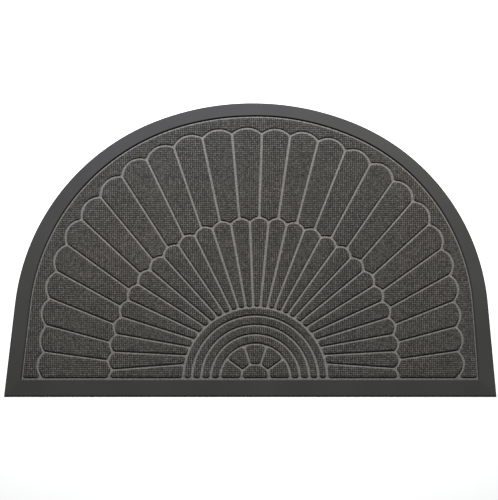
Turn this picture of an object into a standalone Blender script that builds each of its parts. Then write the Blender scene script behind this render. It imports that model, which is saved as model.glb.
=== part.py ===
"""Half round doormat: a moulded rubber base with a ramped border, and a cloth face pressed with a sunburst.

The mat lies flat. The straight edge runs along X, the round side points to +Y, and +Z is up.
The middle of the mat's box is over the origin and its underside is at height zero.
"""
from math import atan, atan2, ceil, cos, hypot, pi, radians, sin, sqrt

import bpy
import numpy as np
from mathutils import Vector
from mathutils.geometry import delaunay_2d_cdt

# Metres in a millimetre. Every length below is in millimetres and every angle in degrees.
MM = 0.001

# The outline, seen from above: a straight front edge, two leaning legs, two shoulder arcs and a crown.
LENGTH = 762.0
DEPTH = 454.0
CROWN_X = 3.4
LEG_HEIGHT = 145.0
LEFT_LEAN = 0.118
RIGHT_LEAN = 0.092
LEFT_SHOULDER = 344.7
RIGHT_SHOULDER = 332.8

# The rubber border's width, at shares of the way along the arch from its right foot, and along the front.
BORDER_WIDTHS = (
    {"share": 0.00, "width": 26.1},
    {"share": 0.08, "width": 23.5},
    {"share": 0.20, "width": 22.0},
    {"share": 0.30, "width": 20.3},
    {"share": 0.46, "width": 20.1},
    {"share": 0.51, "width": 20.9},
    {"share": 0.60, "width": 20.7},
    {"share": 0.80, "width": 23.4},
    {"share": 1.00, "width": 23.8},
)
BORDER_FRONT = 25.5

# The gaps that the cloth keeps from the recess's floor and front, and from its wall along the arch.
SEAT_GAP = 0.3
EDGE_GAP = 0.7

# Heights above the surface that the mat lies on.
RECESS_FLOOR = 1.5
GROOVE_FLOOR = 3.7
PAD_TOP = 6.3

# The border's ramp: how far in from the outer edge, at 0, to the crest, at 1, and the height there.
RAMP_PROFILE = (
    {"across": 0.000, "height": 0.0},
    {"across": 0.000, "height": 0.8},
    {"across": 0.030, "height": 1.7},
    {"across": 0.070, "height": 2.5},
    {"across": 0.100, "height": 2.6},
    {"across": 0.890, "height": 5.4},
    {"across": 0.920, "height": 5.5},
    {"across": 0.955, "height": 5.75},
    {"across": 0.980, "height": 5.9},
    {"across": 1.000, "height": 5.75},
)

# The border's inner wall: how far in from the crest, at 0, to the wall's foot, at 1, and the height there.
WALL_PROFILE = (
    {"across": 0.20, "height": 5.2},
    {"across": 0.70, "height": 3.4},
    {"across": 1.00, "height": RECESS_FLOOR},
)
ARCH_WALL = 1.8
FRONT_WALL = 0.8

# The grooves pressed into the cloth: their width between pad tops, and along the arch and the front.
GROOVE_WIDTH = 4.4
ARCH_GROOVE_WIDTH = 2.7
FRONT_GROOVE_WIDTH = 5.2

# How far a pad's wall leans, and how round a pad's corners are.
WALL_LEAN = 0.8
PAD_CORNER = 2.6

# The middle of the sunburst, from the middle of the straight edge, and the point the inner petals aim at.
CENTRE = np.array([7.8, 27.2])
FOCUS = CENTRE + np.array([0.0, 31.4])

# The outer petals: the angle of the upright groove between them, the steps to each side of it, and how far
# the grooves halfway down each side stand up from those even steps.
UPRIGHT_GROOVE = 88.45
RIGHT_PITCH = 6.72
LEFT_PITCH = 7.02
RIGHT_LIFT = 0.38
LEFT_LIFT = 0.25
GROOVES_EACH_SIDE = 12

# How far the outer scallops' tips are from the centre, and how deep the notches between them are.
OUTER_TIPS = (
    {"angle": 0.0, "radius": 321.5},
    {"angle": 11.0, "radius": 326.0},
    {"angle": 18.0, "radius": 332.5},
    {"angle": 31.0, "radius": 355.2},
    {"angle": 45.0, "radius": 373.5},
    {"angle": 58.0, "radius": 385.3},
    {"angle": 72.0, "radius": 389.9},
    {"angle": 88.0, "radius": 387.0},
    {"angle": 104.0, "radius": 390.8},
    {"angle": 120.0, "radius": 387.4},
    {"angle": 141.0, "radius": 371.7},
    {"angle": 169.0, "radius": 338.3},
    {"angle": 180.0, "radius": 336.5},
)
NOTCH_DEPTH = 8.4
NOTCH_DEPTH_SHOULDERS = 2.6

# How far the inner scallops' tips are from the centre, and how deep the notches between them are.
INNER_TIPS = (
    {"angle": 0.0, "radius": 220.5},
    {"angle": 25.0, "radius": 233.7},
    {"angle": 50.0, "radius": 245.3},
    {"angle": 80.0, "radius": 250.8},
    {"angle": 110.0, "radius": 248.3},
    {"angle": 145.0, "radius": 238.5},
    {"angle": 180.0, "radius": 226.3},
)
INNER_NOTCH_DEPTH = 8.2

# The round grooves, the straight spokes of the small fan inside them, and the hub under the spokes.
RING_RADII = (54.5, 69.0, 83.5, 97.8, 111.3)
SPOKE_ANGLES = (36.0, 71.0, 108.5, 144.5)
HUB_CORNER_RADIUS = 24.0
HUB_FOOT_RADIUS = 22.5

# How far the outlines of the lowest pads run on below the front before they are cut off there.
OVERRUN = 20.0
OVERRUN_ANGLE = 12.0

# The fineness of the curves.
OUTLINE_SPACING = 11.0
CURVE_SPACING = 2.0
DENSE_STEPS = 120
CORNER_STEP = 30.0
MITRE_LIMIT = 20.0
CURVE_TOLERANCE = 0.2
OFFSET_TOLERANCE = 0.0005
MERGE_TOLERANCE = 0.000001

# The two materials: their linear colour and roughness.
RUBBER_COLOR = (0.053, 0.053, 0.052, 1.0)
RUBBER_ROUGHNESS = 0.62
CLOTH_COLOR = (0.067, 0.066, 0.062, 1.0)
CLOTH_ROUGHNESS = 0.95
SMOOTH_ANGLE = 32.0


def lengths_along(curve):
    """How far along an open curve each of its points is."""
    return np.concatenate([[0.0], np.cumsum(np.linalg.norm(np.diff(curve, axis=0), axis=1))])


def evenly_spaced(curve, count):
    """The same open curve through count + 1 points at equal steps along it."""
    lengths = lengths_along(curve)
    wanted = np.linspace(0.0, lengths[-1], count + 1)
    return np.stack([np.interp(wanted, lengths, curve[:, k]) for k in (0, 1)], axis=1)


def outline_side(foot, lean, shoulder):
    """One side of the outer edge, from its foot to the top of the crown, measured from the crown's middle."""
    tilt = atan(lean)
    knee = np.array([foot - lean * LEG_HEIGHT, LEG_HEIGHT])
    shoulder_centre = knee - shoulder * np.array([cos(tilt), sin(tilt)])
    rise = DEPTH - shoulder_centre[1]
    crown = (shoulder_centre[0] ** 2 + rise ** 2 - shoulder ** 2) / (2 * (rise - shoulder))
    crown_centre = np.array([0.0, DEPTH - crown])
    meeting = atan2(shoulder_centre[1] - crown_centre[1], shoulder_centre[0])
    leg = np.array([[foot, 0.0], knee])
    shoulder_turns = np.linspace(tilt, meeting, DENSE_STEPS)[1:, None]
    crown_turns = np.linspace(meeting, pi / 2, DENSE_STEPS)[1:, None]
    return np.concatenate([
        evenly_spaced(leg, DENSE_STEPS),
        shoulder_centre + shoulder * np.concatenate([np.cos(shoulder_turns), np.sin(shoulder_turns)], axis=1),
        crown_centre + crown * np.concatenate([np.cos(crown_turns), np.sin(crown_turns)], axis=1),
    ])


def outline_curve():
    """The mat's outer edge, from its right foot over the crown to its left foot."""
    right = outline_side(LENGTH / 2 - CROWN_X, RIGHT_LEAN, RIGHT_SHOULDER)
    left = outline_side(LENGTH / 2 + CROWN_X, LEFT_LEAN, LEFT_SHOULDER) * np.array([-1.0, 1.0])
    return np.concatenate([right, left[-2::-1]]) + np.array([CROWN_X, 0.0])


def inward_normals(curve):
    """Unit vectors to the left of a curve that runs anticlockwise."""
    along = np.gradient(curve, axis=0)
    along /= np.linalg.norm(along, axis=1)[:, None]
    return np.stack([-along[:, 1], along[:, 0]], axis=1)


def cut_at_height(curve, height):
    """The part of an open curve above a level line, ending exactly on it."""
    above = np.where(curve[:, 1] > height)[0]
    first = above[0]
    last = above[-1]

    def crossing(inside, outside):
        share = (inside[1] - height) / (inside[1] - outside[1])
        return inside + (outside - inside) * share

    start = np.array([curve[first][0], height])
    if first > 0:
        start = crossing(curve[first], curve[first - 1])
    end = np.array([curve[last][0], height])
    if last + 1 < len(curve):
        end = crossing(curve[last], curve[last + 1])
    return np.concatenate([[start], curve[first:last + 1], [end]])


def border_edge(extra, height):
    """The border's inner edge along the arch, moved further in by extra and cut off at a height."""
    outer = outline_curve()
    lengths = lengths_along(outer)
    shares = [row["share"] for row in BORDER_WIDTHS]
    widths = [row["width"] for row in BORDER_WIDTHS]
    width = np.interp(lengths / lengths[-1], shares, widths)
    moved = outer + inward_normals(outer) * (width + extra)[:, None]
    return cut_at_height(moved, height)


def closed_with_front(arch):
    """A closed loop: the arch from right to left, then the straight front back to the right."""
    arch_count = ceil(lengths_along(outline_curve())[-1] / OUTLINE_SPACING)
    round_side = evenly_spaced(arch, arch_count)
    front = evenly_spaced(np.array([round_side[-1], round_side[0]]), ceil(LENGTH / OUTLINE_SPACING))
    return np.concatenate([round_side, front[1:-1]])


def border_loops():
    """The border's outer edge, its crest and the foot of its inner wall, with a point for each point."""
    crest = border_edge(-ARCH_WALL, BORDER_FRONT - FRONT_WALL)
    foot = border_edge(0.0, BORDER_FRONT)
    return [closed_with_front(curve) for curve in (outline_curve(), crest, foot)]


def border_points(outer, crest, foot):
    """The border's points, one closed row after another, from the underside over the crest to the recess."""
    points = []
    for row in RAMP_PROFILE:
        points += [(x, y, row["height"]) for x, y in outer + (crest - outer) * row["across"]]
    for row in WALL_PROFILE:
        points += [(x, y, row["height"]) for x, y in crest + (foot - crest) * row["across"]]
    return points


def point_at(radius, angle):
    """The point at a distance and an angle from the middle of the sunburst."""
    return CENTRE + radius * np.array([cos(radians(angle)), sin(radians(angle))])


def circle_arc(radius, start, end):
    """Points on a circle around the middle of the sunburst."""
    count = max(2, ceil(abs(radians(end - start)) * radius / CURVE_SPACING))
    return [point_at(radius, start + (end - start) * k / count) for k in range(count + 1)]


def arc_through(start, tip, end):
    """Points on the circle that passes through three points, from the first to the last."""
    to_tip = tip - start
    to_end = end - start
    cross = 2 * (to_tip[0] * to_end[1] - to_tip[1] * to_end[0])
    tip_square = to_tip @ to_tip
    end_square = to_end @ to_end
    offset = np.array([
        to_end[1] * tip_square - to_tip[1] * end_square,
        to_tip[0] * end_square - to_end[0] * tip_square,
    ]) / cross
    middle = start + offset
    radius = hypot(*offset)
    first = atan2(start[1] - middle[1], start[0] - middle[0])
    last = atan2(end[1] - middle[1], end[0] - middle[0])
    while last < first:
        last += 2 * pi
    count = max(2, ceil((last - first) * radius / CURVE_SPACING))
    turns = [first + (last - first) * k / count for k in range(count + 1)]
    return [middle + radius * np.array([cos(turn), sin(turn)]) for turn in turns]


def petal_angles():
    """The angles of the grooves between the outer petals, from right to left, with one more at each end."""
    right = [UPRIGHT_GROOVE - RIGHT_PITCH * k for k in range(GROOVES_EACH_SIDE + 1, 0, -1)]
    left = [UPRIGHT_GROOVE + LEFT_PITCH * k for k in range(GROOVES_EACH_SIDE + 2)]
    lifted_right = [angle + RIGHT_LIFT * sin(radians(2 * angle)) for angle in right]
    lifted_left = [angle + LEFT_LIFT * sin(radians(2 * angle)) for angle in left]
    return lifted_right + lifted_left


def tip_radius(tips, angle):
    """How far the scallops of a table reach from the centre at an angle."""
    angles = [row["angle"] for row in tips]
    radii = [row["radius"] for row in tips]
    return float(np.interp(angle, angles, radii))


def outer_notch(angle):
    """The corner between two outer scallops."""
    depth = NOTCH_DEPTH + NOTCH_DEPTH_SHOULDERS * abs(sin(2 * radians(angle)))
    return point_at(tip_radius(OUTER_TIPS, angle) - depth, angle)


def outer_scallops():
    """The arcs along the outer petals' tips, from right to left."""
    grooves = petal_angles()
    arcs = []
    for low, high in zip(grooves, grooves[1:]):
        middle = (low + high) / 2
        tip = point_at(tip_radius(OUTER_TIPS, middle), middle)
        arcs.append(arc_through(outer_notch(low), tip, outer_notch(high)))
    return arcs


def inner_notch(angle):
    """The corner between two inner scallops."""
    return point_at(tip_radius(INNER_TIPS, angle) - INNER_NOTCH_DEPTH, angle)


def inner_scallops():
    """The arcs along the inner petals' tips; each tip is on a groove between two outer petals."""
    tips = petal_angles()
    between = [(low + high) / 2 for low, high in zip(tips, tips[1:])]
    notches = [tips[0] - RIGHT_PITCH / 2] + between + [tips[-1] + LEFT_PITCH / 2]
    arcs = []
    for middle, low, high in zip(tips, notches, notches[1:]):
        tip = point_at(tip_radius(INNER_TIPS, middle), middle)
        arcs.append(arc_through(inner_notch(low), tip, inner_notch(high)))
    return arcs


def outer_petal_cells(outer, inner):
    """One closed outline along the middles of the grooves around each outer petal."""
    drop = np.array([0.0, -OVERRUN])
    found = []
    for k, tip in enumerate(outer):
        before = inner[k][len(inner[k]) // 2:]
        after = inner[k + 1][:len(inner[k + 1]) // 2 + 1]
        rise = [before[0]]
        fall = [tip[-1]]
        if k == 0:
            rise = [before[0], before[0] + drop, tip[0] + drop]
        if k == len(outer) - 1:
            fall = [tip[-1], tip[-1] + drop, after[-1] + drop]
        found.append(rise + tip[:-1] + fall + after[::-1][:-1] + before[::-1][:-1])
    return found


def foot_angle(notch):
    """The angle at which the groove from a notch toward the focus meets the outermost ring."""
    aim = FOCUS - notch
    start = notch - CENTRE
    square = aim @ aim
    mixed = start @ aim
    rest = start @ start - RING_RADII[-1] ** 2
    share = (-mixed - sqrt(mixed * mixed - square * rest)) / square
    foot = start + aim * share
    return np.degrees(atan2(foot[1], foot[0]))


def inner_petal_cells(inner):
    """One closed outline around each inner petal, from its scalloped tip down to the outermost ring."""
    found = []
    for k, tip in enumerate(inner):
        low = -OVERRUN_ANGLE if k == 0 else foot_angle(tip[0])
        high = 180 + OVERRUN_ANGLE if k == len(inner) - 1 else foot_angle(tip[-1])
        found.append(tip + circle_arc(RING_RADII[-1], high, low))
    return found


def ring_cells():
    """One closed outline around each band between two rings."""
    start = -2 * OVERRUN_ANGLE
    end = 180 - start
    return [
        circle_arc(outer, start, end) + circle_arc(inner, end, start)
        for inner, outer in zip(RING_RADII, RING_RADII[1:])
    ]


def fan_cells():
    """The five pads of the small fan and the hub pad under them."""
    start = -2 * OVERRUN_ANGLE
    end = 180 - start
    foot = np.array([HUB_FOOT_RADIUS, 0.0])
    drop = np.array([0.0, -OVERRUN])
    corners = [point_at(HUB_CORNER_RADIUS, angle) for angle in SPOKE_ANGLES]
    hub = [CENTRE + foot + drop, CENTRE + foot] + corners + [CENTRE - foot, CENTRE - foot + drop]
    cuts = (start,) + SPOKE_ANGLES + (end,)
    found = [hub]
    for k, (low, high) in enumerate(zip(cuts, cuts[1:])):
        hub_side = hub[k + 1:k + 3]
        if k == 0:
            hub_side = hub[:3]
        if k == len(SPOKE_ANGLES):
            hub_side = hub[-3:]
        found.append(circle_arc(RING_RADII[0], low, high) + hub_side[::-1])
    return found


def band_cell(outer):
    """The closed outline of the background between the scallops and the border."""
    shell = border_edge(ARCH_GROOVE_WIDTH - GROOVE_WIDTH / 2, 0.0)
    wave = [point for arc in outer for point in arc[:-1]] + [outer[-1][-1]]
    return list(evenly_spaced(shell, DENSE_STEPS)) + wave[::-1]


def cut_off_below(loop, height):
    """The part of a closed outline above a level line."""
    kept = []
    for start, end in zip(loop, loop[1:] + loop[:1]):
        if start[1] >= height:
            kept.append(start)
        if (start[1] >= height) != (end[1] >= height):
            kept.append(start + (end - start) * (height - start[1]) / (end[1] - start[1]))
    return kept


def pattern_cells():
    """Every cell of the pattern, bounded by the middles of the grooves and by the front edge."""
    outer = outer_scallops()
    inner = inner_scallops()
    front = BORDER_FRONT + FRONT_GROOVE_WIDTH - GROOVE_WIDTH / 2
    loops = outer_petal_cells(outer, inner) + inner_petal_cells(inner) + ring_cells() + fan_cells()
    loops.append(band_cell(outer))
    cut = [cut_off_below(loop, front) for loop in loops]
    return [anticlockwise(with_short_sides(loop)) for loop in cut if len(loop) > 2]


def with_short_sides(loop):
    """The same closed outline with its long sides divided."""
    points = []
    for start, end in zip(loop, loop[1:] + loop[:1]):
        length = hypot(*(end - start))
        if length > OFFSET_TOLERANCE:
            count = ceil(length / CURVE_SPACING)
            points += [start + (end - start) * k / count for k in range(count)]
    return np.array(points)


def anticlockwise(loop):
    """The same closed outline, run anticlockwise."""
    following = np.roll(loop, -1, axis=0)
    twice_area = np.sum(loop[:, 0] * following[:, 1] - following[:, 0] * loop[:, 1])
    return loop if twice_area > 0 else loop[::-1]


def clear_of(points, loop, distance):
    """Which points are at least a distance away from a closed outline."""
    side = np.roll(loop, -1, axis=0) - loop
    away = points[:, None] - loop[None]
    share = np.clip((away * side[None]).sum(axis=2) / (side ** 2).sum(axis=1)[None], 0.0, 1.0)
    nearest = ((away - side[None] * share[..., None]) ** 2).sum(axis=2).min(axis=1)
    return nearest >= (distance - OFFSET_TOLERANCE) ** 2


def moved_in(loop, distance):
    """A closed outline moved in by a distance, without the parts that run past each other."""
    side = np.roll(loop, -1, axis=0) - loop
    side /= np.linalg.norm(side, axis=1)[:, None]
    after = np.stack([-side[:, 1], side[:, 0]], axis=1)
    before = np.roll(after, 1, axis=0)
    agreement = (after * before).sum(axis=1)
    middle = (loop + np.roll(loop, -1, axis=0)) / 2
    rows = []
    for k, point in enumerate(loop):
        if agreement[k] > cos(radians(2 * MITRE_LIMIT)):
            rows.append(point + (before[k] + after[k]) / (1 + agreement[k]) * distance)
        rows.append(middle[k] + after[k] * distance)
    points = np.array(rows)
    return points[clear_of(points, loop, distance)]


def thinned(curve):
    """An open curve without the points that it can lose within the tolerance."""
    if len(curve) < 3:
        return curve
    chord = curve[-1] - curve[0]
    away = curve[1:-1] - curve[0]
    length = hypot(*chord)
    if length > OFFSET_TOLERANCE:
        distance = np.abs(chord[0] * away[:, 1] - chord[1] * away[:, 0]) / length
    else:
        distance = np.hypot(away[:, 0], away[:, 1])
    worst = int(distance.argmax())
    if distance[worst] <= CURVE_TOLERANCE:
        return curve[[0, -1]]
    return np.concatenate([thinned(curve[:worst + 2])[:-1], thinned(curve[worst + 1:])])


def thinned_loop(loop):
    """A closed outline without the points that it can lose within the tolerance."""
    farthest = int(np.hypot(*(loop - loop[0]).T).argmax())
    back = np.concatenate([loop[farthest:], loop[:1]])
    return np.concatenate([thinned(loop[:farthest + 1])[:-1], thinned(back)[:-1]])


def moved_out(loop, distance):
    """A closed outline moved out by a distance, with an arc around each sharp corner."""
    points = []
    for before, corner, after in zip(np.roll(loop, 1, axis=0), loop, np.roll(loop, -1, axis=0)):
        start = atan2(corner[1] - before[1], corner[0] - before[0]) - pi / 2
        end = atan2(after[1] - corner[1], after[0] - corner[0]) - pi / 2
        turn = (end - start + pi) % (2 * pi) - pi
        if turn < radians(MITRE_LIMIT):
            reach = distance / cos(turn / 2)
            points.append(corner + reach * np.array([cos(start + turn / 2), sin(start + turn / 2)]))
            continue
        count = ceil(turn / radians(CORNER_STEP))
        for k in range(count + 1):
            angle = start + turn * k / count
            points.append(corner + distance * np.array([cos(angle), sin(angle)]))
    return np.array(points)


def pad_loops():
    """The foot and the top outline of each raised pad; the two have the same number of points."""
    found = []
    for cell in pattern_cells():
        core = thinned_loop(moved_in(cell, GROOVE_WIDTH / 2 + PAD_CORNER))
        found.append((moved_out(core, PAD_CORNER + WALL_LEAN), moved_out(core, PAD_CORNER)))
    return found


def triangulated(loops):
    """Triangles that fill the first loop and keep the sides of all the others.

    Returns the points and triangles, and for each point the number of the loop that it lies on.
    """
    points = [Vector(point) for loop in loops for point in loop]
    owner = [k for k, loop in enumerate(loops) for _ in loop]
    faces = []
    start = 0
    for loop in loops:
        faces.append(list(range(start, start + len(loop))))
        start += len(loop)
    kept, _, triangles, sources, _, _ = delaunay_2d_cdt(points, [], faces, 1, MERGE_TOLERANCE)
    return kept, triangles, [owner[source[0]] for source in sources]


def material(name, color, roughness):
    """A Principled material of one colour."""
    made = bpy.data.materials.new(name)
    made.use_nodes = True
    shader = made.node_tree.nodes["Principled BSDF"]
    shader.inputs["Base Color"].default_value = color
    shader.inputs["Roughness"].default_value = roughness
    shader.inputs["Metallic"].default_value = 0.0
    return made


def add_object(name, points, faces, look):
    """A named object from points in millimetres, measured from the middle of the straight edge."""
    mesh = bpy.data.meshes.new(name)
    mesh.from_pydata([(x * MM, (y - DEPTH / 2) * MM, z * MM) for x, y, z in points], [], faces)
    mesh.polygons.foreach_set("use_smooth", [True] * len(mesh.polygons))
    mesh.set_sharp_from_angle(angle=radians(SMOOTH_ANGLE))
    mesh.materials.append(look)
    mesh.update()
    body = bpy.data.objects.new(name, mesh)
    bpy.context.scene.collection.objects.link(body)
    return body


def build_rubber_base():
    """The moulded base: a flat underside, a border that ramps up inward, and a recess for the cloth."""
    outer_loop, crest_loop, foot_loop = border_loops()
    count = len(outer_loop)
    points = border_points(outer_loop, crest_loop, foot_loop)
    last = len(points) - count
    faces = []
    for low in range(0, last, count):
        high = low + count
        for k in range(count):
            following = (k + 1) % count
            faces.append((low + k, low + following, high + following, high + k))
    _, underside, _ = triangulated([outer_loop])
    _, recess, _ = triangulated([foot_loop])
    faces += [tuple(face[::-1]) for face in underside]
    faces += [tuple(last + k for k in face) for face in recess]
    return add_object("rubber_base", points, faces, material("rubber", RUBBER_COLOR, RUBBER_ROUGHNESS))


def build_face_cloth():
    """The cloth face: one sheet with raised pads, flat below, seated a hair inside the recess."""
    edge_loop = closed_with_front(border_edge(EDGE_GAP, BORDER_FRONT + SEAT_GAP))
    pads = pad_loops()
    feet = [foot for foot, _ in pads]
    tops = [top for _, top in pads]
    flat, upper, owners = triangulated([edge_loop] + feet + tops)
    first_top = 1 + len(feet)
    points = []
    for point, owner in zip(flat, owners):
        height = PAD_TOP if owner >= first_top else GROOVE_FLOOR
        points.append((point[0], point[1], height))
    count = len(edge_loop)
    below = len(points)
    points += [(x, y, RECESS_FLOOR + SEAT_GAP) for x, y in edge_loop]
    _, underside, _ = triangulated([edge_loop])
    faces = [tuple(face) for face in upper]
    faces += [tuple(below + k for k in face[::-1]) for face in underside]
    for k in range(count):
        following = (k + 1) % count
        faces.append((below + k, below + following, following, k))
    return add_object("face_cloth", points, faces, material("cloth", CLOTH_COLOR, CLOTH_ROUGHNESS))


def clear_scene():
    """Removes whatever the scene holds."""
    for old in list(bpy.data.objects):
        bpy.data.objects.remove(old, do_unlink=True)


clear_scene()
build_rubber_base()
build_face_cloth()
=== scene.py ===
"""The looks of a half round doormat: a moulded rubber base and a woven face pressed with a sunburst."""
from math import atan, atan2, ceil, cos, hypot, pi, radians, sin, sqrt

import bpy
import numpy as np
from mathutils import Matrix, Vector
from mathutils.geometry import delaunay_2d_cdt


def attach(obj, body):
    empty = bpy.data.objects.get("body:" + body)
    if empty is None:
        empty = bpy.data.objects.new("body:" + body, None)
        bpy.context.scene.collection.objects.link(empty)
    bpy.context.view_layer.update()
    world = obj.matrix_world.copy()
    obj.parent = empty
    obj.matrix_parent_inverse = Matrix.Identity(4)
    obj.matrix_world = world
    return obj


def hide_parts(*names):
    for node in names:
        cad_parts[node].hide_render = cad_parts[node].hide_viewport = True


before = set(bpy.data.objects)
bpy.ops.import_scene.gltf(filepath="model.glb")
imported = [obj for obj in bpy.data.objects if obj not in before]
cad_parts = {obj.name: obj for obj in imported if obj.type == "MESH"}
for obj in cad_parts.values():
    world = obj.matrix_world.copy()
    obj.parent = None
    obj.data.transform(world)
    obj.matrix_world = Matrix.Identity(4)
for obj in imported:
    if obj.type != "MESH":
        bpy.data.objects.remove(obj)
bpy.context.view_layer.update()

# Metres in a millimetre. Every length below is in millimetres and every angle in degrees.
MM = 0.001

# The outline, seen from above: a straight front edge, two leaning legs, two shoulder arcs and a crown.
LENGTH = 762.0
DEPTH = 454.0
CROWN_X = 3.4
LEG_HEIGHT = 145.0
LEFT_LEAN = 0.118
RIGHT_LEAN = 0.092
LEFT_SHOULDER = 344.7
RIGHT_SHOULDER = 332.8

# The rubber border's width, at shares of the way along the arch from its right foot, and along the front.
BORDER_WIDTHS = (
    {"share": 0.00, "width": 26.1},
    {"share": 0.08, "width": 23.5},
    {"share": 0.20, "width": 22.0},
    {"share": 0.30, "width": 20.3},
    {"share": 0.46, "width": 20.1},
    {"share": 0.51, "width": 20.9},
    {"share": 0.60, "width": 20.7},
    {"share": 0.80, "width": 23.4},
    {"share": 1.00, "width": 23.8},
)
BORDER_FRONT = 25.5

# The gaps that the cloth keeps from the recess's floor and front, and from its wall along the arch.
SEAT_GAP = 0.3
EDGE_GAP = 0.7

# Heights above the surface that the mat lies on.
RECESS_FLOOR = 1.5
GROOVE_FLOOR = 3.7
PAD_TOP = 6.3

# The border's ramp: how far in from the outer edge, at 0, to the crest, at 1, and the height there.
RAMP_PROFILE = (
    {"across": 0.000, "height": 0.0},
    {"across": 0.000, "height": 0.8},
    {"across": 0.030, "height": 1.7},
    {"across": 0.070, "height": 2.5},
    {"across": 0.100, "height": 2.6},
    {"across": 0.890, "height": 5.4},
    {"across": 0.920, "height": 5.5},
    {"across": 0.955, "height": 5.75},
    {"across": 0.980, "height": 5.9},
    {"across": 1.000, "height": 5.75},
)

# The border's inner wall: how far in from the crest, at 0, to the wall's foot, at 1, and the height there.
WALL_PROFILE = (
    {"across": 0.20, "height": 5.2},
    {"across": 0.70, "height": 3.4},
    {"across": 1.00, "height": RECESS_FLOOR},
)
ARCH_WALL = 1.8
FRONT_WALL = 0.8

# The grooves pressed into the cloth: their width between pad tops, and along the arch and the front.
GROOVE_WIDTH = 4.4
ARCH_GROOVE_WIDTH = 2.7
FRONT_GROOVE_WIDTH = 5.2

# How round a pad's corners are.
PAD_CORNER = 2.6

# The middle of the sunburst, from the middle of the straight edge, and the point the inner petals aim at.
CENTRE = np.array([7.8, 27.2])
FOCUS = CENTRE + np.array([0.0, 31.4])

# The outer petals: the angle of the upright groove between them, the steps to each side of it, and how far
# the grooves halfway down each side stand up from those even steps.
UPRIGHT_GROOVE = 88.45
RIGHT_PITCH = 6.72
LEFT_PITCH = 7.02
RIGHT_LIFT = 0.38
LEFT_LIFT = 0.25
GROOVES_EACH_SIDE = 12

# How far the outer scallops' tips are from the centre, and how deep the notches between them are.
OUTER_TIPS = (
    {"angle": 0.0, "radius": 321.5},
    {"angle": 11.0, "radius": 326.0},
    {"angle": 18.0, "radius": 332.5},
    {"angle": 31.0, "radius": 355.2},
    {"angle": 45.0, "radius": 373.5},
    {"angle": 58.0, "radius": 385.3},
    {"angle": 72.0, "radius": 389.9},
    {"angle": 88.0, "radius": 387.0},
    {"angle": 104.0, "radius": 390.8},
    {"angle": 120.0, "radius": 387.4},
    {"angle": 141.0, "radius": 371.7},
    {"angle": 169.0, "radius": 338.3},
    {"angle": 180.0, "radius": 336.5},
)
NOTCH_DEPTH = 8.4
NOTCH_DEPTH_SHOULDERS = 2.6

# How far the inner scallops' tips are from the centre, and how deep the notches between them are.
INNER_TIPS = (
    {"angle": 0.0, "radius": 220.5},
    {"angle": 25.0, "radius": 233.7},
    {"angle": 50.0, "radius": 245.3},
    {"angle": 80.0, "radius": 250.8},
    {"angle": 110.0, "radius": 248.3},
    {"angle": 145.0, "radius": 238.5},
    {"angle": 180.0, "radius": 226.3},
)
INNER_NOTCH_DEPTH = 8.2

# The round grooves, the straight spokes of the small fan inside them, and the hub under the spokes.
RING_RADII = (54.5, 69.0, 83.5, 97.8, 111.3)
SPOKE_ANGLES = (36.0, 71.0, 108.5, 144.5)
HUB_CORNER_RADIUS = 24.0
HUB_FOOT_RADIUS = 22.5

# How far the outlines of the lowest pads run on below the front before they are cut off there.
OVERRUN = 20.0
OVERRUN_ANGLE = 12.0

# The weave: the distance between yarns, and where one crossing is, along X and along Y from the middle of
# the straight edge. The crossings and the ribs between them rise above a pad's top, and the holes sink in.
YARN_PITCH = 3.05
WEAVE_ORIGIN = 0.76
CROSSING_RISE = 0.42
RIB_RISE = 0.1
HOLE_SINK = 0.6

# How far the weave keeps from the edge of a pad's top, and how far in from that edge its relief is full.
WEAVE_MARGIN = 0.6
WEAVE_FADE = 2.2

# How uneven the weave is: how far a knot is shifted, and the share of its height that it may gain or lose.
KNOT_SHIFT = 0.38
KNOT_SPREAD = 0.4
KNOT_SEED = 7

# The section of a pad's edge: how far it is out from the pad's core, and the height there.
PAD_PROFILE = (
    {"out": 3.40, "height": GROOVE_FLOOR},
    {"out": 3.25, "height": GROOVE_FLOOR + 0.15},
    {"out": 3.05, "height": GROOVE_FLOOR + 0.70},
    {"out": 2.85, "height": PAD_TOP - 0.90},
    {"out": 2.60, "height": PAD_TOP - 0.35},
    {"out": 2.00, "height": PAD_TOP - 0.04},
)

# The fineness of the curves. A corner that turns by less than the mitre limit stays one point when its
# outline is moved out, and becomes an arc otherwise.
OUTLINE_SPACING = 5.0
CURVE_SPACING = 1.6
DENSE_STEPS = 160
CORNER_STEP = 24.0
MITRE_LIMIT = 20.0
CURVE_TOLERANCE = 0.06
OFFSET_TOLERANCE = 0.0005

# The triangulation takes points this close together as one, and keeps only what is inside the outlines.
MERGE_TOLERANCE = 0.000001
ONLY_INSIDE = 1

# How many points are measured at once, and the angle between two faces up to which they are shaded as one.
POINTS_AT_ONCE = 2000
SMOOTH_ANGLE = 50.0

# Noise in the materials: how many finer layers it has, how strong those are, and which of its values are
# spread over the shades.
NOISE_DETAIL = 3.0
NOISE_ROUGHNESS = 0.55
NOISE_RANGE = (0.3, 0.7)

# The cloth's colours, plain and under the painted light tint: its dark pile, and the pale pressed cloth in
# the grooves.
PILE_COLOR = (0.0366, 0.0360, 0.0338, 1.0)
PILE_TINT = (0.0412, 0.0385, 0.0337, 1.0)
PRESSED_COLOR = (0.116, 0.114, 0.108, 1.0)
PRESSED_TINT = (0.118, 0.112, 0.102, 1.0)

# How the pile's shade varies: painted shade in the weave's holes and painted light on its crossings, and
# shades that differ at random from yarn to yarn and from knot to knot. The sums are the ranges of two
# cosines and of two random numbers added together. The row step keeps the random numbers of the rows apart
# from those of the columns.
PAINTED_WEAVE_SHADES = (0.15, 1.7)
YARN_SHADES = (0.93, 1.07)
KNOT_SHADES = (0.48, 1.52)
KNOTS_A_YARN = 2.0
COSINE_SUMS = (-2.0, 2.0)
RANDOM_SUMS = (0.0, 2.0)
ROW_STEP = 577.0

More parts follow.
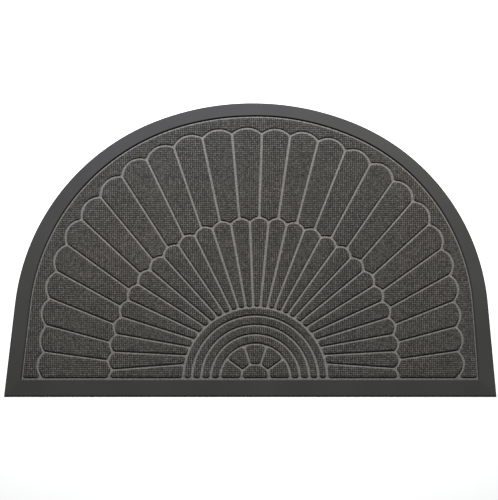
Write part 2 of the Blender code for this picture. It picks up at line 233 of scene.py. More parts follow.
# The larger patches and the fine fibres of the whole cloth: their shades, their bumps a metre, and the
# fibres' depth in metres.
PATCH_SHADES = (0.96, 1.04)
PATCH_SCALE = 14.0
FIBRE_SHADES = (0.3, 1.7)
FIBRE_SCALE = 520.0
FIBRE_DETAIL = 4.0
FIBRE_ROUGHNESS = 0.7
FIBRE_RANGE = (0.25, 0.75)
FIBRE_DEPTH = 0.0002
FIBRE_STRENGTH = 0.5

# How far above the groove's floor the pressed cloth starts to turn into pile, and where it is all pile.
PRESSED_EDGE = 0.1
PILE_START = 1.0

# The cloth's gloss.
CLOTH_SHEEN = 0.15
CLOTH_SHEEN_ROUGHNESS = 0.5
CLOTH_SPECULAR = 0.2
CLOTH_ROUGHNESS_RANGE = (0.85, 1.0)

# Where a painted light tint, standing in for the light's colour and strength, turns the colours warmer and
# the
# pile lighter: none of it at the back left, and all of it toward the front right. How much a step to the
# right counts of a step forward, the bumps a metre of the tint's uneven edge and how far they move it, and
# where the tint starts and is full.
TINT_TURN = 0.35
TINT_SCALE = 5.0
TINT_WANDER = 160.0
TINT_RANGE = (-380.0, -220.0)

# Painted shade on the pile, darkest around a place near the middle and lighter away from it, as the light
# falls:
# the place, in metres from the middle of the mat, how far from it in millimetres the dark starts to fade and
# is gone, and the shades there.
PAINTED_SHADE_PLACE = (0.08, 0.04, 0.0)
PAINTED_SHADE_REACH = (40.0, 300.0)
PAINTED_SHADE_LEVELS = (0.84, 1.0)

# The rubber's colours, plain, under the painted light tint and scuffed, and how its shade varies over large
# clouds.
MOULDED_COLOR = (0.0394, 0.0394, 0.0410, 1.0)
MOULDED_TINT = (0.0398, 0.0397, 0.0372, 1.0)
SCUFF_COLOR = (0.060, 0.060, 0.058, 1.0)
CLOUD_SHADES = (0.94, 1.06)
CLOUD_SCALE = 9.0

# The scuffs along the rubber's outer edge, and the height at which they end.
SCUFF_SCALE = 120.0
SCUFF_DETAIL = 5.0
SCUFF_ROUGHNESS = 0.7
SCUFF_RANGE = (0.5, 0.75)
SCUFF_HEIGHT = 3.6

# The rubber's grain, its depth in metres, and the rubber's gloss.
GRAIN_SCALE = 900.0
GRAIN_DETAIL = 2.0
GRAIN_DEPTH = 0.00008
GRAIN_STRENGTH = 0.35
MOULDED_SPECULAR = 0.05
MOULDED_ROUGHNESS_RANGE = (0.72, 0.82)

# The sockets of a node that mixes colours.
MIX_FACTOR = 0
MIX_FIRST = 6
MIX_SECOND = 7
MIX_RESULT = 2

# The floor, the even light all round, and the soft square light high behind the mat, in metres and watts.
FLOOR_SIZE = 12.0
FLOOR_GAP = 0.0001
FLOOR_COLOR = (0.96, 0.96, 0.96, 1.0)
FLOOR_ROUGHNESS = 0.9
WORLD_COLOR = (1.0, 0.99, 0.96, 1.0)
WORLD_STRENGTH = 0.08
LIGHT_PLACE = (0.0, 1.0, 1.12)
LIGHT_SIZE = 0.2
LIGHT_POWER = 51.0
LIGHT_COLOR = (0.985, 0.99, 1.0)

# The photograph: how many millimetres one of its pixels spans at the height of the mat's outline, and how
# many pixels high it is. The camera's place, from the middle of the mat, and its sensor's size.
PIXEL = 1.5465
PHOTO_HEIGHT = 500
CAMERA_X = -1.9
CAMERA_Y = -0.4
CAMERA_HEIGHT = 3000.0
OUTLINE_HEIGHT = 3.0
SENSOR = 36.0


def lengths_along(curve):
    """How far along an open curve each of its points is."""
    return np.concatenate([[0.0], np.cumsum(np.linalg.norm(np.diff(curve, axis=0), axis=1))])


def evenly_spaced(curve, count):
    """The same open curve through count + 1 points at equal steps along it."""
    lengths = lengths_along(curve)
    wanted = np.linspace(0.0, lengths[-1], count + 1)
    return np.stack([np.interp(wanted, lengths, curve[:, k]) for k in (0, 1)], axis=1)


def outline_side(foot, lean, shoulder):
    """One side of the outer edge, from its foot to the crown's top, measured from the crown's middle."""
    tilt = atan(lean)
    knee = np.array([foot - lean * LEG_HEIGHT, LEG_HEIGHT])
    shoulder_centre = knee - shoulder * np.array([cos(tilt), sin(tilt)])
    rise = DEPTH - shoulder_centre[1]
    crown = (shoulder_centre[0] ** 2 + rise ** 2 - shoulder ** 2) / (2 * (rise - shoulder))
    crown_centre = np.array([0.0, DEPTH - crown])
    meeting = atan2(shoulder_centre[1] - crown_centre[1], shoulder_centre[0])
    leg = np.array([[foot, 0.0], knee])
    shoulder_turns = np.linspace(tilt, meeting, DENSE_STEPS)[1:, None]
    crown_turns = np.linspace(meeting, pi / 2, DENSE_STEPS)[1:, None]
    return np.concatenate([
        evenly_spaced(leg, DENSE_STEPS),
        shoulder_centre + shoulder * np.hstack([np.cos(shoulder_turns), np.sin(shoulder_turns)]),
        crown_centre + crown * np.hstack([np.cos(crown_turns), np.sin(crown_turns)]),
    ])


def outline_curve():
    """The mat's outer edge, from its right foot over the crown to its left foot."""
    right = outline_side(LENGTH / 2 - CROWN_X, RIGHT_LEAN, RIGHT_SHOULDER)
    left = outline_side(LENGTH / 2 + CROWN_X, LEFT_LEAN, LEFT_SHOULDER) * np.array([-1.0, 1.0])
    return np.concatenate([right, left[-2::-1]]) + np.array([CROWN_X, 0.0])


def inward_normals(curve):
    """Unit vectors to the left of a curve that runs anticlockwise."""
    along = np.gradient(curve, axis=0)
    along /= np.linalg.norm(along, axis=1)[:, None]
    return np.stack([-along[:, 1], along[:, 0]], axis=1)


def cut_at_height(curve, height):
    """The part of an open curve above a level line, ending exactly on it."""
    above = np.where(curve[:, 1] > height)[0]
    first = above[0]
    last = above[-1]

    def crossing(inside, outside):
        share = (inside[1] - height) / (inside[1] - outside[1])
        return inside + (outside - inside) * share

    start = np.array([curve[first][0], height])
    if first > 0:
        start = crossing(curve[first], curve[first - 1])
    end = np.array([curve[last][0], height])
    if last + 1 < len(curve):
        end = crossing(curve[last], curve[last + 1])
    return np.concatenate([[start], curve[first:last + 1], [end]])


def border_edge(extra, height):
    """The border's inner edge along the arch, moved further in by extra and cut off at a height."""
    outer = outline_curve()
    lengths = lengths_along(outer)
    shares = [row["share"] for row in BORDER_WIDTHS]
    widths = [row["width"] for row in BORDER_WIDTHS]
    width = np.interp(lengths / lengths[-1], shares, widths)
    moved = outer + inward_normals(outer) * (width + extra)[:, None]
    return cut_at_height(moved, height)


def closed_with_front(arch):
    """A closed loop: the arch from right to left, then the straight front back to the right."""
    arch_count = ceil(lengths_along(outline_curve())[-1] / OUTLINE_SPACING)
    round_side = evenly_spaced(arch, arch_count)
    front = evenly_spaced(np.array([round_side[-1], round_side[0]]), ceil(LENGTH / OUTLINE_SPACING))
    return np.concatenate([round_side, front[1:-1]])


def border_loops():
    """The border's outer edge, its crest and the foot of its inner wall, with a point for each point."""
    crest = border_edge(-ARCH_WALL, BORDER_FRONT - FRONT_WALL)
    foot = border_edge(0.0, BORDER_FRONT)
    return [closed_with_front(curve) for curve in (outline_curve(), crest, foot)]


def border_points(outer, crest, foot):
    """The border's points, one closed row after another, from the underside over the crest to the recess."""
    points = []
    for row in RAMP_PROFILE:
        points += [(x, y, row["height"]) for x, y in outer + (crest - outer) * row["across"]]
    for row in WALL_PROFILE:
        points += [(x, y, row["height"]) for x, y in crest + (foot - crest) * row["across"]]
    return points


def point_at(radius, angle):
    """The point at a distance and an angle from the middle of the sunburst."""
    return CENTRE + radius * np.array([cos(radians(angle)), sin(radians(angle))])


def circle_arc(radius, start, end):
    """Points on a circle around the middle of the sunburst."""
    count = max(2, ceil(abs(radians(end - start)) * radius / CURVE_SPACING))
    return [point_at(radius, start + (end - start) * k / count) for k in range(count + 1)]


def arc_through(start, tip, end):
    """Points on the circle that passes through three points, from the first to the last."""
    to_tip = tip - start
    to_end = end - start
    cross = 2 * (to_tip[0] * to_end[1] - to_tip[1] * to_end[0])
    tip_square = to_tip @ to_tip
    end_square = to_end @ to_end
    offset = np.array([
        to_end[1] * tip_square - to_tip[1] * end_square,
        to_tip[0] * end_square - to_end[0] * tip_square,
    ]) / cross
    middle = start + offset
    radius = hypot(*offset)
    first = atan2(start[1] - middle[1], start[0] - middle[0])
    last = atan2(end[1] - middle[1], end[0] - middle[0])
    while last < first:
        last += 2 * pi
    count = max(2, ceil((last - first) * radius / CURVE_SPACING))
    turns = [first + (last - first) * k / count for k in range(count + 1)]
    return [middle + radius * np.array([cos(turn), sin(turn)]) for turn in turns]


def petal_angles():
    """The angles of the grooves between the outer petals, from right to left, with one more at each end."""
    right = [UPRIGHT_GROOVE - RIGHT_PITCH * k for k in range(GROOVES_EACH_SIDE + 1, 0, -1)]
    left = [UPRIGHT_GROOVE + LEFT_PITCH * k for k in range(GROOVES_EACH_SIDE + 2)]
    lifted_right = [angle + RIGHT_LIFT * sin(radians(2 * angle)) for angle in right]
    lifted_left = [angle + LEFT_LIFT * sin(radians(2 * angle)) for angle in left]
    return lifted_right + lifted_left


def tip_radius(tips, angle):
    """How far the scallops of a table reach from the centre at an angle."""
    angles = [row["angle"] for row in tips]
    radii = [row["radius"] for row in tips]
    return float(np.interp(angle, angles, radii))


def outer_notch(angle):
    """The corner between two outer scallops."""
    depth = NOTCH_DEPTH + NOTCH_DEPTH_SHOULDERS * abs(sin(2 * radians(angle)))
    return point_at(tip_radius(OUTER_TIPS, angle) - depth, angle)


def outer_scallops():
    """The arcs along the outer petals' tips, from right to left."""
    grooves = petal_angles()
    arcs = []
    for low, high in zip(grooves, grooves[1:]):
        middle = (low + high) / 2
        tip = point_at(tip_radius(OUTER_TIPS, middle), middle)
        arcs.append(arc_through(outer_notch(low), tip, outer_notch(high)))
    return arcs


def inner_notch(angle):
    """The corner between two inner scallops."""
    return point_at(tip_radius(INNER_TIPS, angle) - INNER_NOTCH_DEPTH, angle)


def inner_scallops():
    """The arcs along the inner petals' tips; each tip is on a groove between two outer petals."""
    tips = petal_angles()
    between = [(low + high) / 2 for low, high in zip(tips, tips[1:])]
    notches = [tips[0] - RIGHT_PITCH / 2] + between + [tips[-1] + LEFT_PITCH / 2]
    arcs = []
    for middle, low, high in zip(tips, notches, notches[1:]):
        tip = point_at(tip_radius(INNER_TIPS, middle), middle)
        arcs.append(arc_through(inner_notch(low), tip, inner_notch(high)))
    return arcs


def outer_petal_cells(outer, inner):
    """One closed outline along the middles of the grooves around each outer petal."""
    drop = np.array([0.0, -OVERRUN])
    found = []
    for k, tip in enumerate(outer):
        before = inner[k][len(inner[k]) // 2:]
        after = inner[k + 1][:len(inner[k + 1]) // 2 + 1]
        rise = [before[0]]
        fall = [tip[-1]]
        if k == 0:
            rise = [before[0], before[0] + drop, tip[0] + drop]
        if k == len(outer) - 1:
            fall = [tip[-1], tip[-1] + drop, after[-1] + drop]
        found.append(rise + tip[:-1] + fall + after[::-1][:-1] + before[::-1][:-1])
    return found


def foot_angle(notch):
    """The angle at which the groove from a notch toward the focus meets the outermost ring."""
    aim = FOCUS - notch
    start = notch - CENTRE
    square = aim @ aim
    mixed = start @ aim
    rest = start @ start - RING_RADII[-1] ** 2
    share = (-mixed - sqrt(mixed * mixed - square * rest)) / square
    foot = start + aim * share
    return np.degrees(atan2(foot[1], foot[0]))


def inner_petal_cells(inner):
    """One closed outline around each inner petal, from its scalloped tip down to the outermost ring."""
    found = []
    for k, tip in enumerate(inner):
        low = -OVERRUN_ANGLE if k == 0 else foot_angle(tip[0])
        high = 180 + OVERRUN_ANGLE if k == len(inner) - 1 else foot_angle(tip[-1])
        found.append(tip + circle_arc(RING_RADII[-1], high, low))
    return found


def ring_cells():
    """One closed outline around each band between two rings."""
    start = -2 * OVERRUN_ANGLE
    end = 180 - start
    return [
        circle_arc(outer, start, end) + circle_arc(inner, end, start)
        for inner, outer in zip(RING_RADII, RING_RADII[1:])
    ]


def fan_cells():
    """The five pads of the small fan and the hub pad under them."""
    start = -2 * OVERRUN_ANGLE
    end = 180 - start
    foot = np.array([HUB_FOOT_RADIUS, 0.0])
    drop = np.array([0.0, -OVERRUN])
    corners = [point_at(HUB_CORNER_RADIUS, angle) for angle in SPOKE_ANGLES]
    hub = [CENTRE + foot + drop, CENTRE + foot] + corners + [CENTRE - foot, CENTRE - foot + drop]
    cuts = (start,) + SPOKE_ANGLES + (end,)
    found = [hub]
    for k, (low, high) in enumerate(zip(cuts, cuts[1:])):
        hub_side = hub[k + 1:k + 3]
        if k == 0:
            hub_side = hub[:3]
        if k == len(SPOKE_ANGLES):
            hub_side = hub[-3:]
        found.append(circle_arc(RING_RADII[0], low, high) + hub_side[::-1])
    return found


def band_cell(outer):
    """The closed outline of the background between the scallops and the border."""
    shell = border_edge(ARCH_GROOVE_WIDTH - GROOVE_WIDTH / 2, 0.0)
    wave = [point for arc in outer for point in arc[:-1]] + [outer[-1][-1]]
    return list(evenly_spaced(shell, DENSE_STEPS)) + wave[::-1]


def cut_off_below(loop, height):
    """The part of a closed outline above a level line."""
    kept = []
    for start, end in zip(loop, loop[1:] + loop[:1]):
        if start[1] >= height:
            kept.append(start)
        if (start[1] >= height) != (end[1] >= height):
            kept.append(start + (end - start) * (height - start[1]) / (end[1] - start[1]))
    return kept


def pattern_cells():
    """Every cell of the pattern, bounded by the middles of the grooves and by the front edge."""
    outer = outer_scallops()
    inner = inner_scallops()
    front = BORDER_FRONT + FRONT_GROOVE_WIDTH - GROOVE_WIDTH / 2
    loops = outer_petal_cells(outer, inner) + inner_petal_cells(inner) + ring_cells() + fan_cells()
    loops.append(band_cell(outer))
    cut = [cut_off_below(loop, front) for loop in loops]
    return [anticlockwise(with_short_sides(loop)) for loop in cut if len(loop) > 2]


def with_short_sides(loop):
    """The same closed outline with its long sides divided."""
    points = []
    for start, end in zip(loop, loop[1:] + loop[:1]):
        length = hypot(*(end - start))
        if length > OFFSET_TOLERANCE:
            count = ceil(length / CURVE_SPACING)
            points += [start + (end - start) * k / count for k in range(count)]
    return np.array(points)


def anticlockwise(loop):
    """The same closed outline, run anticlockwise."""
    following = np.roll(loop, -1, axis=0)
    twice_area = np.sum(loop[:, 0] * following[:, 1] - following[:, 0] * loop[:, 1])
    return loop if twice_area > 0 else loop[::-1]


def clear_of(points, loop, distance):
    """Which points are at least a distance away from a closed outline."""
    side = np.roll(loop, -1, axis=0) - loop
    away = points[:, None] - loop[None]
    share = np.clip((away * side[None]).sum(axis=2) / (side ** 2).sum(axis=1)[None], 0.0, 1.0)
    nearest = ((away - side[None] * share[..., None]) ** 2).sum(axis=2).min(axis=1)
    return nearest >= (distance - OFFSET_TOLERANCE) ** 2


def moved_in(loop, distance):
    """A closed outline moved in by a distance, without the parts that run past each other."""
    side = np.roll(loop, -1, axis=0) - loop
    side /= np.linalg.norm(side, axis=1)[:, None]
    after = np.stack([-side[:, 1], side[:, 0]], axis=1)
    before = np.roll(after, 1, axis=0)
    agreement = (after * before).sum(axis=1)
    middle = (loop + np.roll(loop, -1, axis=0)) / 2
    rows = []
    for k, point in enumerate(loop):
        if agreement[k] > cos(radians(2 * MITRE_LIMIT)):
            rows.append(point + (before[k] + after[k]) / (1 + agreement[k]) * distance)
        rows.append(middle[k] + after[k] * distance)
    points = np.array(rows)
    return points[clear_of(points, loop, distance)]


def thinned(curve):
    """An open curve without the points that it can lose within the tolerance."""
    if len(curve) < 3:
        return curve
    chord = curve[-1] - curve[0]
    away = curve[1:-1] - curve[0]
    length = hypot(*chord)
    if length > OFFSET_TOLERANCE:
        distance = np.abs(chord[0] * away[:, 1] - chord[1] * away[:, 0]) / length
    else:
        distance = np.hypot(away[:, 0], away[:, 1])
    worst = int(distance.argmax())
    if distance[worst] <= CURVE_TOLERANCE:
        return curve[[0, -1]]
    return np.concatenate([thinned(curve[:worst + 2])[:-1], thinned(curve[worst + 1:])])


def thinned_loop(loop):
    """A closed outline without the points that it can lose within the tolerance."""
    farthest = int(np.hypot(*(loop - loop[0]).T).argmax())
    back = np.concatenate([loop[farthest:], loop[:1]])
    return np.concatenate([thinned(loop[:farthest + 1])[:-1], thinned(back)[:-1]])


def moved_out(loop, distance):
    """A closed outline moved out by a distance, with an arc around each sharp corner."""
    points = []
    for before, corner, after in zip(np.roll(loop, 1, axis=0), loop, np.roll(loop, -1, axis=0)):
        start = atan2(corner[1] - before[1], corner[0] - before[0]) - pi / 2
        end = atan2(after[1] - corner[1], after[0] - corner[0]) - pi / 2
        turn = (end - start + pi) % (2 * pi) - pi
        if turn < radians(MITRE_LIMIT):
            reach = distance / cos(turn / 2)
            points.append(corner + reach * np.array([cos(start + turn / 2), sin(start + turn / 2)]))
            continue
        count = ceil(turn / radians(CORNER_STEP))
        for k in range(count + 1):
            angle = start + turn * k / count
            points.append(corner + distance * np.array([cos(angle), sin(angle)]))
    return np.array(points)


def pad_cores():
    """The closed outline that each raised pad is grown from."""
    return [thinned_loop(moved_in(cell, GROOVE_WIDTH / 2 + PAD_CORNER)) for cell in pattern_cells()]


def triangulated(loops, inner=()):
    """Triangles over the first loop, with the other loops left open and the inner points taken in."""
    points = [Vector(point) for loop in loops for point in loop] + [Vector(point) for point in inner]
    faces = []
    start = 0
    for loop in loops:
        faces.append(list(range(start, start + len(loop))))
        start += len(loop)
    found = delaunay_2d_cdt(points, [], faces, ONLY_INSIDE, MERGE_TOLERANCE)
    _, _, triangles, sources, _, owners = found
    return [
        tuple(sources[k][0] for k in triangle)
        for triangle, owner in zip(triangles, owners)
        if len(owner) == 1
    ]


def inside(points, loop):
    """Which points are inside a closed outline."""
    found = np.zeros(len(points), dtype=bool)
    for start, end in zip(loop, np.roll(loop, -1, axis=0)):
        if start[1] == end[1]:
            continue
        spans = (start[1] > points[:, 1]) != (end[1] > points[:, 1])
        crossing = start[0] + (end[0] - start[0]) * (points[:, 1] - start[1]) / (end[1] - start[1])
        found ^= spans & (points[:, 0] < crossing)
    return found


def distances_to(points, loop):
    """How far each point is from a closed outline."""
    side = np.roll(loop, -1, axis=0) - loop
    square = (side ** 2).sum(axis=1)[None]
    found = []
    for start in range(0, len(points), POINTS_AT_ONCE):
        away = points[start:start + POINTS_AT_ONCE, None] - loop[None]
        share = np.clip((away * side[None]).sum(axis=2) / square, 0.0, 1.0)
        found.append(np.sqrt(((away - side[None] * share[..., None]) ** 2).sum(axis=2).min(axis=1)))
    return np.concatenate(found) if found else np.zeros(0)


def weave_points(loop, chance):
    """The crossings, ribs and holes of the weave on a pad's top, a little uneven, and their heights."""
    step = YARN_PITCH / 2
    low = np.ceil((loop.min(axis=0) - WEAVE_ORIGIN) / step).astype(int)
    high = np.floor((loop.max(axis=0) - WEAVE_ORIGIN) / step).astype(int)
    columns, rows = np.meshgrid(np.arange(low[0], high[0] + 1), np.arange(low[1], high[1] + 1))
    columns = columns.ravel()
    rows = rows.ravel()
    points = np.stack([columns, rows], axis=1) * step + WEAVE_ORIGIN
    keep = inside(points, loop)
    points, columns, rows = points[keep], columns[keep], rows[keep]
    distance = distances_to(points, loop)
    keep = distance > WEAVE_MARGIN
    points, columns, rows, distance = points[keep], columns[keep], rows[keep], distance[keep]
    half_steps = columns % 2 + rows % 2
    relief = np.choose(half_steps, [CROSSING_RISE, RIB_RISE, -HOLE_SINK])
    relief = relief * chance.uniform(1 - KNOT_SPREAD, 1 + KNOT_SPREAD, len(points))
    fade = np.clip(distance / WEAVE_FADE, 0.0, 1.0)
    shift = chance.uniform(-KNOT_SHIFT, KNOT_SHIFT, points.shape)
    return points + shift * fade[:, None], PAD_TOP + relief * fade


def ring_faces(low, high, count):
    """Four-sided faces between two closed rows of points."""
    return [(low + k, low + (k + 1) % count, high + (k + 1) % count, high + k) for k in range(count)]


def add_piece(name, points, faces, look):
    """A smooth piece from points in millimetres, measured from the middle of the straight edge."""
    mesh = bpy.data.meshes.new(name)
    mesh.from_pydata([(x * MM, (y - DEPTH / 2) * MM, z * MM) for x, y, z in points], [], faces)
    mesh.polygons.foreach_set("use_smooth", [True] * len(mesh.polygons))
    mesh.set_sharp_from_angle(angle=radians(SMOOTH_ANGLE))
    mesh.materials.append(look)
    mesh.update()
    piece = bpy.data.objects.new(name, mesh)
    bpy.context.scene.collection.objects.link(piece)
    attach(piece, "root")
    return piece


def build_woven_face(look):
    """The cloth: woven pads with rounded edges, and the smooth grooves pressed between them."""
    edge_loop = closed_with_front(border_edge(EDGE_GAP, BORDER_FRONT + SEAT_GAP))
    count = len(edge_loop)
    points = [(x, y, GROOVE_FLOOR) for x, y in edge_loop]
    faces = []
    feet = []
    feet_ids = []
    chance = np.random.default_rng(KNOT_SEED)
    for core in pad_cores():
        loops = [moved_out(core, row["out"]) for row in PAD_PROFILE]
        size = len(loops[0])
        start = len(points)
        for row, loop in zip(PAD_PROFILE, loops):
            points += [(x, y, row["height"]) for x, y in loop]
        for k in range(len(loops) - 1):
            faces += ring_faces(start + k * size, start + (k + 1) * size, size)
        feet.append(loops[0])
        feet_ids.append(range(start, start + size))
        top_start = start + (len(loops) - 1) * size
        nubs, heights = weave_points(loops[-1], chance)
        points += [(x, y, z) for (x, y), z in zip(nubs, heights)]
        top = triangulated([loops[-1]], nubs)
        faces += [tuple(top_start + k for k in face) for face in top]
    ids = list(range(count)) + [k for group in feet_ids for k in group]
    grooves = triangulated([edge_loop] + feet)
    faces += [tuple(ids[k] for k in face) for face in grooves]
    below = len(points)
    points += [(x, y, RECESS_FLOOR + SEAT_GAP) for x, y in edge_loop]
    underside = triangulated([edge_loop])
    faces += [tuple(below + k for k in face[::-1]) for face in underside]
    faces += ring_faces(below, 0, count)
    return add_piece("woven_face", points, faces, look)


def build_moulded_base(look):
    """The rubber: a flat underside, a border that ramps up inward to a rounded crest, and the recess."""
    outer_loop, crest_loop, foot_loop = border_loops()
    count = len(outer_loop)
    points = border_points(outer_loop, crest_loop, foot_loop)
    last = len(points) - count
    faces = []
    for low in range(0, last, count):
        faces += ring_faces(low, low + count, count)
    underside = triangulated([outer_loop])
    recess = triangulated([foot_loop])
    faces += [face[::-1] for face in underside]
    faces += [tuple(last + k for k in face) for face in recess]
    return add_piece("moulded_base", points, faces, look)


class Surface:
    """A Principled material and short calls that add nodes to it."""

    def __init__(self, name):
        self.material = bpy.data.materials.new(name)
        self.material.use_nodes = True
        self.tree = self.material.node_tree
        self.shader = self.tree.nodes["Principled BSDF"]
        self.place = self.node("ShaderNodeTexCoord").outputs["Object"]
        parts = self.node("ShaderNodeSeparateXYZ", self.place).outputs
        self.x = self.math("MULTIPLY", parts["X"], 1 / MM)
        self.y = self.math("MULTIPLY_ADD", parts["Y"], 1 / MM, DEPTH / 2)
        self.z = self.math("MULTIPLY", parts["Z"], 1 / MM)

    def node(self, kind, *values, **settings):
        """A node with these inputs, in order; None leaves one alone."""
        made = self.tree.nodes.new(kind)
        for key, value in settings.items():
            setattr(made, key, value)
        for socket, value in zip(made.inputs, values):
            self.feed(socket, value)
        return made

    def feed(self, socket, value):
        """Sets a socket to a value or links it."""
        if isinstance(value, bpy.types.NodeSocket):
            self.tree.links.new(value, socket)
        elif value is not None:
            socket.default_value = value

    def math(self, operation, *values):
        """The result of a Math node."""
        return self.node("ShaderNodeMath", *values, operation=operation).outputs[0]

    def ramp(self, value, low, high, out_low=0.0, out_high=1.0):
        """A value moved smoothly from one range to another."""
        values = (value, low, high, out_low, out_high)
        return self.node("ShaderNodeMapRange", *values, interpolation_type="SMOOTHSTEP").outputs[0]

    def noise(self, scale, detail=NOISE_DETAIL, roughness=NOISE_ROUGHNESS):
        """Noise over the surface, with so many bumps a metre."""
        made = self.node("ShaderNodeTexNoise", self.place)
        made.inputs["Scale"].default_value = scale
        made.inputs["Detail"].default_value = detail
        made.inputs["Roughness"].default_value = roughness
        return made.outputs["Fac"]

    def random(self, value):
        """A random number for each whole number."""
        return self.node("ShaderNodeTexWhiteNoise", None, value, noise_dimensions="1D").outputs["Value"]

    def painted_light_tint(self):
        """How much of the painted light tint falls here, from 0 at the back left to 1 toward the front
        right.
        """
        forward = self.math("MULTIPLY_ADD", self.x, TINT_TURN, self.math("MULTIPLY", self.y, -1.0))
        wandering = self.math("MULTIPLY_ADD", self.noise(TINT_SCALE), TINT_WANDER, forward)
        return self.ramp(wandering, *TINT_RANGE)

    def away_from(self, place):
        """How many millimetres the surface is from a place, which is in metres."""
        away = self.node("ShaderNodeVectorMath", self.place, place, operation="DISTANCE")
        return self.math("MULTIPLY", away.outputs["Value"], 1 / MM)

    def mix(self, factor, first, second):
        """Two colours mixed."""
        made = self.node("ShaderNodeMix", data_type="RGBA")
        self.feed(made.inputs[MIX_FACTOR], factor)
        self.feed(made.inputs[MIX_FIRST], first)
        self.feed(made.inputs[MIX_SECOND], second)
        return made.outputs[MIX_RESULT]

    def scaled(self, color, factor):
        """A colour made lighter or darker."""
        made = self.node("ShaderNodeVectorMath", color, operation="SCALE")
        self.feed(made.inputs["Scale"], factor)
        return made.outputs[0]

    def finish(self, color, roughness, height, depth, strength):
        """Connects the colour, the roughness and a bump of that depth in metres."""
        bump = self.node("ShaderNodeBump")
        bump.inputs["Strength"].default_value = strength
        bump.inputs["Distance"].default_value = depth
        self.feed(bump.inputs["Height"], height)
        self.feed(self.shader.inputs["Normal"], bump.outputs[0])
        self.feed(self.shader.inputs["Base Color"], color)
        self.feed(self.shader.inputs["Roughness"], roughness)
        return self.material


def woven_look():
    """Dark woven cloth on the pads, and pale pressed cloth in the grooves."""
    cloth = Surface("woven_cloth")
    yarns_across = cloth.math("DIVIDE", cloth.math("SUBTRACT", cloth.x, WEAVE_ORIGIN), YARN_PITCH)
    yarns_up = cloth.math("DIVIDE", cloth.math("SUBTRACT", cloth.y, WEAVE_ORIGIN), YARN_PITCH)
    turn_across = cloth.math("COSINE", cloth.math("MULTIPLY", yarns_across, 2 * pi))
    turn_up = cloth.math("COSINE", cloth.math("MULTIPLY", yarns_up, 2 * pi))
    # Painted shade in the weave's holes and painted light on its crossings.
    weave = cloth.ramp(cloth.math("ADD", turn_across, turn_up), *COSINE_SUMS, *PAINTED_WEAVE_SHADES)
    column = cloth.random(cloth.math("ROUND", yarns_across))
    row = cloth.random(cloth.math("ADD", cloth.math("ROUND", yarns_up), ROW_STEP))
    yarn = cloth.ramp(cloth.math("ADD", column, row), *RANDOM_SUMS, *YARN_SHADES)
    knot_column = cloth.math("ROUND", cloth.math("MULTIPLY", yarns_across, KNOTS_A_YARN))
    knot_row = cloth.math("ROUND", cloth.math("MULTIPLY", yarns_up, KNOTS_A_YARN))
    knot_chance = cloth.random(cloth.math("MULTIPLY_ADD", knot_row, ROW_STEP, knot_column))
    knot = cloth.math("MULTIPLY_ADD", knot_chance, KNOT_SHADES[1] - KNOT_SHADES[0], KNOT_SHADES[0])
    patch = cloth.ramp(cloth.noise(PATCH_SCALE), *NOISE_RANGE, *PATCH_SHADES)
    # Painted light tint: warmer colours, and a lighter pile, toward the front right.
    tint = cloth.painted_light_tint()
    # Painted shade: darker pile around a place near the middle, fading out toward the edges.
    painted_shade = cloth.ramp(cloth.away_from(PAINTED_SHADE_PLACE), *PAINTED_SHADE_REACH, *PAINTED_SHADE_LEVELS)
    fibres = cloth.noise(FIBRE_SCALE, FIBRE_DETAIL, FIBRE_ROUGHNESS)
    fibre_shade = cloth.ramp(fibres, *FIBRE_RANGE, *FIBRE_SHADES)
    rough_shade = cloth.math("MULTIPLY", patch, fibre_shade)
    woven_shade = cloth.math("MULTIPLY", weave, cloth.math("MULTIPLY", yarn, knot))
    pile_shade = cloth.math("MULTIPLY", cloth.math("MULTIPLY", woven_shade, painted_shade), rough_shade)
    pile = cloth.scaled(cloth.mix(tint, PILE_COLOR, PILE_TINT), pile_shade)
    pressed = cloth.scaled(cloth.mix(tint, PRESSED_COLOR, PRESSED_TINT), rough_shade)
    raised = cloth.ramp(cloth.z, GROOVE_FLOOR + PRESSED_EDGE, GROOVE_FLOOR + PILE_START)
    color = cloth.mix(raised, pressed, pile)
    cloth.shader.inputs["Sheen Weight"].default_value = CLOTH_SHEEN
    cloth.shader.inputs["Sheen Roughness"].default_value = CLOTH_SHEEN_ROUGHNESS
    cloth.shader.inputs["Specular IOR Level"].default_value = CLOTH_SPECULAR
    roughness = cloth.ramp(fibres, *NOISE_RANGE, *CLOTH_ROUGHNESS_RANGE)
    return cloth.finish(color, roughness, fibres, FIBRE_DEPTH, FIBRE_STRENGTH)


def rubber_look():
    """Matt moulded rubber with a fine grain, slightly scuffed along its low outer edge."""
    rubber = Surface("moulded_rubber")
    grain = rubber.noise(GRAIN_SCALE, GRAIN_DETAIL)
    shade = rubber.ramp(rubber.noise(CLOUD_SCALE), *NOISE_RANGE, *CLOUD_SHADES)
    scuffs = rubber.ramp(rubber.noise(SCUFF_SCALE, SCUFF_DETAIL, SCUFF_ROUGHNESS), *SCUFF_RANGE)
    edge = rubber.ramp(rubber.z, 0.0, SCUFF_HEIGHT, 1.0, 0.0)
    worn = rubber.math("MULTIPLY", scuffs, edge)
    # Painted light tint: warmer rubber toward the front right.
    moulded = rubber.mix(rubber.painted_light_tint(), MOULDED_COLOR, MOULDED_TINT)
    color = rubber.scaled(rubber.mix(worn, moulded, SCUFF_COLOR), shade)
    rubber.shader.inputs["Specular IOR Level"].default_value = MOULDED_SPECULAR
    roughness = rubber.ramp(grain, *NOISE_RANGE, *MOULDED_ROUGHNESS_RANGE)
    return rubber.finish(color, roughness, grain, GRAIN_DEPTH, GRAIN_STRENGTH)


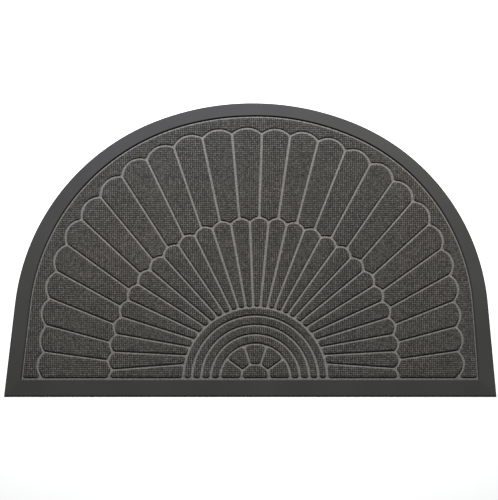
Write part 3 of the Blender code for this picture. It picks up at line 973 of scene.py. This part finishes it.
def plain_look(name, color, roughness):
    """A plain material for the floor."""
    made = bpy.data.materials.new(name)
    made.use_nodes = True
    shader = made.node_tree.nodes["Principled BSDF"]
    shader.inputs["Base Color"].default_value = color
    shader.inputs["Roughness"].default_value = roughness
    return made


def add_floor():
    """A plain pale floor under the mat."""
    half = FLOOR_SIZE / 2
    mesh = bpy.data.meshes.new("floor")
    corners = [(-half, -half, 0.0), (half, -half, 0.0), (half, half, 0.0), (-half, half, 0.0)]
    mesh.from_pydata(corners, [], [(0, 1, 2, 3)])
    mesh.materials.append(plain_look("floor_paint", FLOOR_COLOR, FLOOR_ROUGHNESS))
    floor = bpy.data.objects.new("floor", mesh)
    floor.location.z = -FLOOR_GAP
    bpy.context.scene.collection.objects.link(floor)


def add_light():
    """A soft square light high behind the mat, turned toward its middle."""
    data = bpy.data.lights.new("north_light", "AREA")
    data.size = LIGHT_SIZE
    data.energy = LIGHT_POWER
    data.color = LIGHT_COLOR
    light = bpy.data.objects.new("north_light", data)
    light.location = LIGHT_PLACE
    light.rotation_euler = (-Vector(LIGHT_PLACE)).to_track_quat("-Z", "Y").to_euler()
    light.visible_camera = False
    bpy.context.scene.collection.objects.link(light)


def add_world():
    """Even pale light from all sides."""
    world = bpy.data.worlds.new("studio")
    world.use_nodes = True
    background = world.node_tree.nodes["Background"]
    background.inputs["Color"].default_value = WORLD_COLOR
    background.inputs["Strength"].default_value = WORLD_STRENGTH
    bpy.context.scene.world = world


def add_camera():
    """A camera straight above the mat, framed as the photograph is."""
    data = bpy.data.cameras.new("camera")
    data.sensor_width = SENSOR
    data.lens = SENSOR * (CAMERA_HEIGHT - OUTLINE_HEIGHT) / (PIXEL * PHOTO_HEIGHT)
    camera = bpy.data.objects.new("camera", data)
    camera.location = (CAMERA_X * MM, CAMERA_Y * MM, CAMERA_HEIGHT * MM)
    bpy.context.scene.collection.objects.link(camera)
    bpy.context.scene.camera = camera


base = build_moulded_base(rubber_look())
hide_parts("rubber_base")
face = build_woven_face(woven_look())
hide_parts("face_cloth")

add_floor()
add_world()
add_light()
add_camera()
bpy.context.scene.view_settings.view_transform = "Standard"
